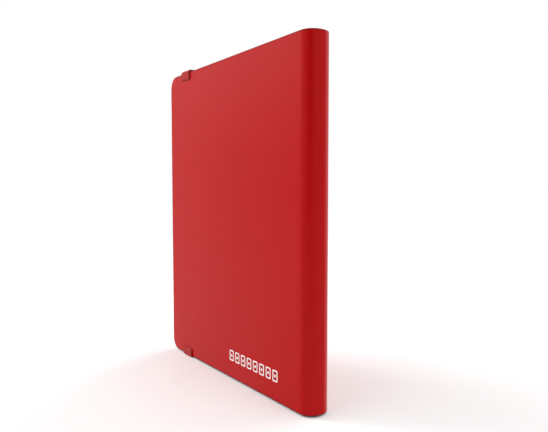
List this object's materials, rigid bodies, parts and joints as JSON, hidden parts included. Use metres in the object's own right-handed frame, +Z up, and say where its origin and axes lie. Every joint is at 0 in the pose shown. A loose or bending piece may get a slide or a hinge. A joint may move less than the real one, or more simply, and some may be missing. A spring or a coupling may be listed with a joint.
{
  "type": "trading card binder",
  "caption": "Side-loading card album: hinged plastic covers round a half-round spine, black pocket pages that turn, and an elastic strap that holds it shut.",
  "frame": {"origin": "under the middle of the shut album, at the underside of the strap where it passes below the covers", "axes": "+Z up along the album's height, +X from the fore-edge to the spine, +Y from the back cover to the front cover"},
  "size_m": [0.256, 0.03, 0.3243],
  "materials": {
    "cover": "satin, fine grain",
    "page": "matte black sheet",
    "film": "clear glossy film",
    "elastic": "woven elastic",
    "binding": "matte",
    "anchor": "moulded, matte"
  },
  "bodies": {
    "spine": {"spine": "cover", "spine_liner": "binding", "page_stubs": "page", "spacer_strips": "binding"},
    "front_cover": {"front_cover": "cover"},
    "back_cover": {"back_cover": "cover", "elastic_foot": "elastic", "elastic_tail_top": "elastic", "elastic_tail_bottom": "elastic", "anchor_bar_top": "anchor", "anchor_bar_bottom": "anchor"},
    "elastic_band": {"elastic_band": "elastic"},
    "page_01": {"page_01": "page", "pockets_01": "film"},
    "page_02": {"page_02": "page", "pockets_02": "film"},
    "page_03": {"page_03": "page", "pockets_03": "film"},
    "page_04": {"page_04": "page", "pockets_04": "film"},
    "page_05": {"page_05": "page", "pockets_05": "film"},
    "page_06": {"page_06": "page", "pockets_06": "film"},
    "page_07": {"page_07": "page", "pockets_07": "film"},
    "page_08": {"page_08": "page", "pockets_08": "film"},
    "page_09": {"page_09": "page", "pockets_09": "film"},
    "page_10": {"page_10": "page", "pockets_10": "film"},
    "page_11": {"page_11": "page", "pockets_11": "film"},
    "page_12": {"page_12": "page", "pockets_12": "film"},
    "page_13": {"page_13": "page", "pockets_13": "film"},
    "page_14": {"page_14": "page", "pockets_14": "film"},
    "page_15": {"page_15": "page", "pockets_15": "film"},
    "page_16": {"page_16": "page", "pockets_16": "film"},
    "page_17": {"page_17": "page", "pockets_17": "film"},
    "page_18": {"page_18": "page", "pockets_18": "film"},
    "page_19": {"page_19": "page", "pockets_19": "film"},
    "page_20": {"page_20": "page", "pockets_20": "film"}
  },
  "joints": [
    {"name": "front_cover_hinge", "type": "hinge", "parent": "spine", "child": "front_cover", "pos_m": [0.114, 0.0135, 0.1615], "axis": [0, 0, -1], "range_deg": [0, 90], "deforming": ["elastic_band"]},
    {"name": "back_cover_hinge", "type": "hinge", "parent": "spine", "child": "back_cover", "pos_m": [0.114, -0.0135, 0.1615], "axis": [0, 0, 1], "range_deg": [0, 90]},
    {"name": "page_01_turn", "type": "hinge", "parent": "spine", "child": "page_01", "pos_m": [0.112, 0.01026, 0.1615], "axis": [0, 0, -1], "range_deg": [0, 70]},
    {"name": "page_02_turn", "type": "hinge", "parent": "spine", "child": "page_02", "pos_m": [0.112, 0.00918, 0.1615], "axis": [0, 0, -1], "range_deg": [0, 66.5]},
    {"name": "page_03_turn", "type": "hinge", "parent": "spine", "child": "page_03", "pos_m": [0.112, 0.0081, 0.1615], "axis": [0, 0, -1], "range_deg": [0, 63]},
    {"name": "page_04_turn", "type": "hinge", "parent": "spine", "child": "page_04", "pos_m": [0.112, 0.00702, 0.1615], "axis": [0, 0, -1], "range_deg": [0, 59.5]},
    {"name": "page_05_turn", "type": "hinge", "parent": "spine", "child": "page_05", "pos_m": [0.112, 0.00594, 0.1615], "axis": [0, 0, -1], "range_deg": [0, 56]},
    {"name": "page_06_turn", "type": "hinge", "parent": "spine", "child": "page_06", "pos_m": [0.112, 0.00486, 0.1615], "axis": [0, 0, -1], "range_deg": [0, 52.5]},
    {"name": "page_07_turn", "type": "hinge", "parent": "spine", "child": "page_07", "pos_m": [0.112, 0.00378, 0.1615], "axis": [0, 0, -1], "range_deg": [0, 49]},
    {"name": "page_08_turn", "type": "hinge", "parent": "spine", "child": "page_08", "pos_m": [0.112, 0.0027, 0.1615], "axis": [0, 0, -1], "range_deg": [0, 45.5]},
    {"name": "page_09_turn", "type": "hinge", "parent": "spine", "child": "page_09", "pos_m": [0.112, 0.00162, 0.1615], "axis": [0, 0, -1], "range_deg": [0, 42]},
    {"name": "page_10_turn", "type": "hinge", "parent": "spine", "child": "page_10", "pos_m": [0.112, 0.00054, 0.1615], "axis": [0, 0, -1], "range_deg": [0, 38.5]},
    {"name": "page_11_turn", "type": "hinge", "parent": "spine", "child": "page_11", "pos_m": [0.112, -0.00054, 0.1615], "axis": [0, 0, 1], "range_deg": [0, 38.5]},
    {"name": "page_12_turn", "type": "hinge", "parent": "spine", "child": "page_12", "pos_m": [0.112, -0.00162, 0.1615], "axis": [0, 0, 1], "range_deg": [0, 42]},
    {"name": "page_13_turn", "type": "hinge", "parent": "spine", "child": "page_13", "pos_m": [0.112, -0.0027, 0.1615], "axis": [0, 0, 1], "range_deg": [0, 45.5]},
    {"name": "page_14_turn", "type": "hinge", "parent": "spine", "child": "page_14", "pos_m": [0.112, -0.00378, 0.1615], "axis": [0, 0, 1], "range_deg": [0, 49]},
    {"name": "page_15_turn", "type": "hinge", "parent": "spine", "child": "page_15", "pos_m": [0.112, -0.00486, 0.1615], "axis": [0, 0, 1], "range_deg": [0, 52.5]},
    {"name": "page_16_turn", "type": "hinge", "parent": "spine", "child": "page_16", "pos_m": [0.112, -0.00594, 0.1615], "axis": [0, 0, 1], "range_deg": [0, 56]},
    {"name": "page_17_turn", "type": "hinge", "parent": "spine", "child": "page_17", "pos_m": [0.112, -0.00702, 0.1615], "axis": [0, 0, 1], "range_deg": [0, 59.5]},
    {"name": "page_18_turn", "type": "hinge", "parent": "spine", "child": "page_18", "pos_m": [0.112, -0.0081, 0.1615], "axis": [0, 0, 1], "range_deg": [0, 63]},
    {"name": "page_19_turn", "type": "hinge", "parent": "spine", "child": "page_19", "pos_m": [0.112, -0.00918, 0.1615], "axis": [0, 0, 1], "range_deg": [0, 66.5]},
    {"name": "page_20_turn", "type": "hinge", "parent": "spine", "child": "page_20", "pos_m": [0.112, -0.01026, 0.1615], "axis": [0, 0, 1], "range_deg": [0, 70]},
    {"name": "elastic_band_pull", "type": "slide", "parent": "back_cover", "child": "elastic_band", "axis": [-1, 0, 0], "range_m": [0, 0.057], "stiffness_N_per_m": 60}
  ],
  "couplings": [
    {"joint": "back_cover_hinge", "follows": "front_cover_hinge", "ratio": 1},
    {"joint": "page_01_turn", "follows": "front_cover_hinge", "ratio": 0.77778},
    {"joint": "page_02_turn", "follows": "front_cover_hinge", "ratio": 0.73889},
    {"joint": "page_03_turn", "follows": "front_cover_hinge", "ratio": 0.7},
    {"joint": "page_04_turn", "follows": "front_cover_hinge", "ratio": 0.66111},
    {"joint": "page_05_turn", "follows": "front_cover_hinge", "ratio": 0.62222},
    {"joint": "page_06_turn", "follows": "front_cover_hinge", "ratio": 0.58333},
    {"joint": "page_07_turn", "follows": "front_cover_hinge", "ratio": 0.54444},
    {"joint": "page_08_turn", "follows": "front_cover_hinge", "ratio": 0.50555},
    {"joint": "page_09_turn", "follows": "front_cover_hinge", "ratio": 0.46667},
    {"joint": "page_10_turn", "follows": "front_cover_hinge", "ratio": 0.42778},
    {"joint": "page_11_turn", "follows": "front_cover_hinge", "ratio": 0.42778},
    {"joint": "page_12_turn", "follows": "front_cover_hinge", "ratio": 0.46667},
    {"joint": "page_13_turn", "follows": "front_cover_hinge", "ratio": 0.50555},
    {"joint": "page_14_turn", "follows": "front_cover_hinge", "ratio": 0.54444},
    {"joint": "page_15_turn", "follows": "front_cover_hinge", "ratio": 0.58333},
    {"joint": "page_16_turn", "follows": "front_cover_hinge", "ratio": 0.62222},
    {"joint": "page_17_turn", "follows": "front_cover_hinge", "ratio": 0.66111},
    {"joint": "page_18_turn", "follows": "front_cover_hinge", "ratio": 0.7},
    {"joint": "page_19_turn", "follows": "front_cover_hinge", "ratio": 0.73889},
    {"joint": "page_20_turn", "follows": "front_cover_hinge", "ratio": 0.77778}
  ]
}
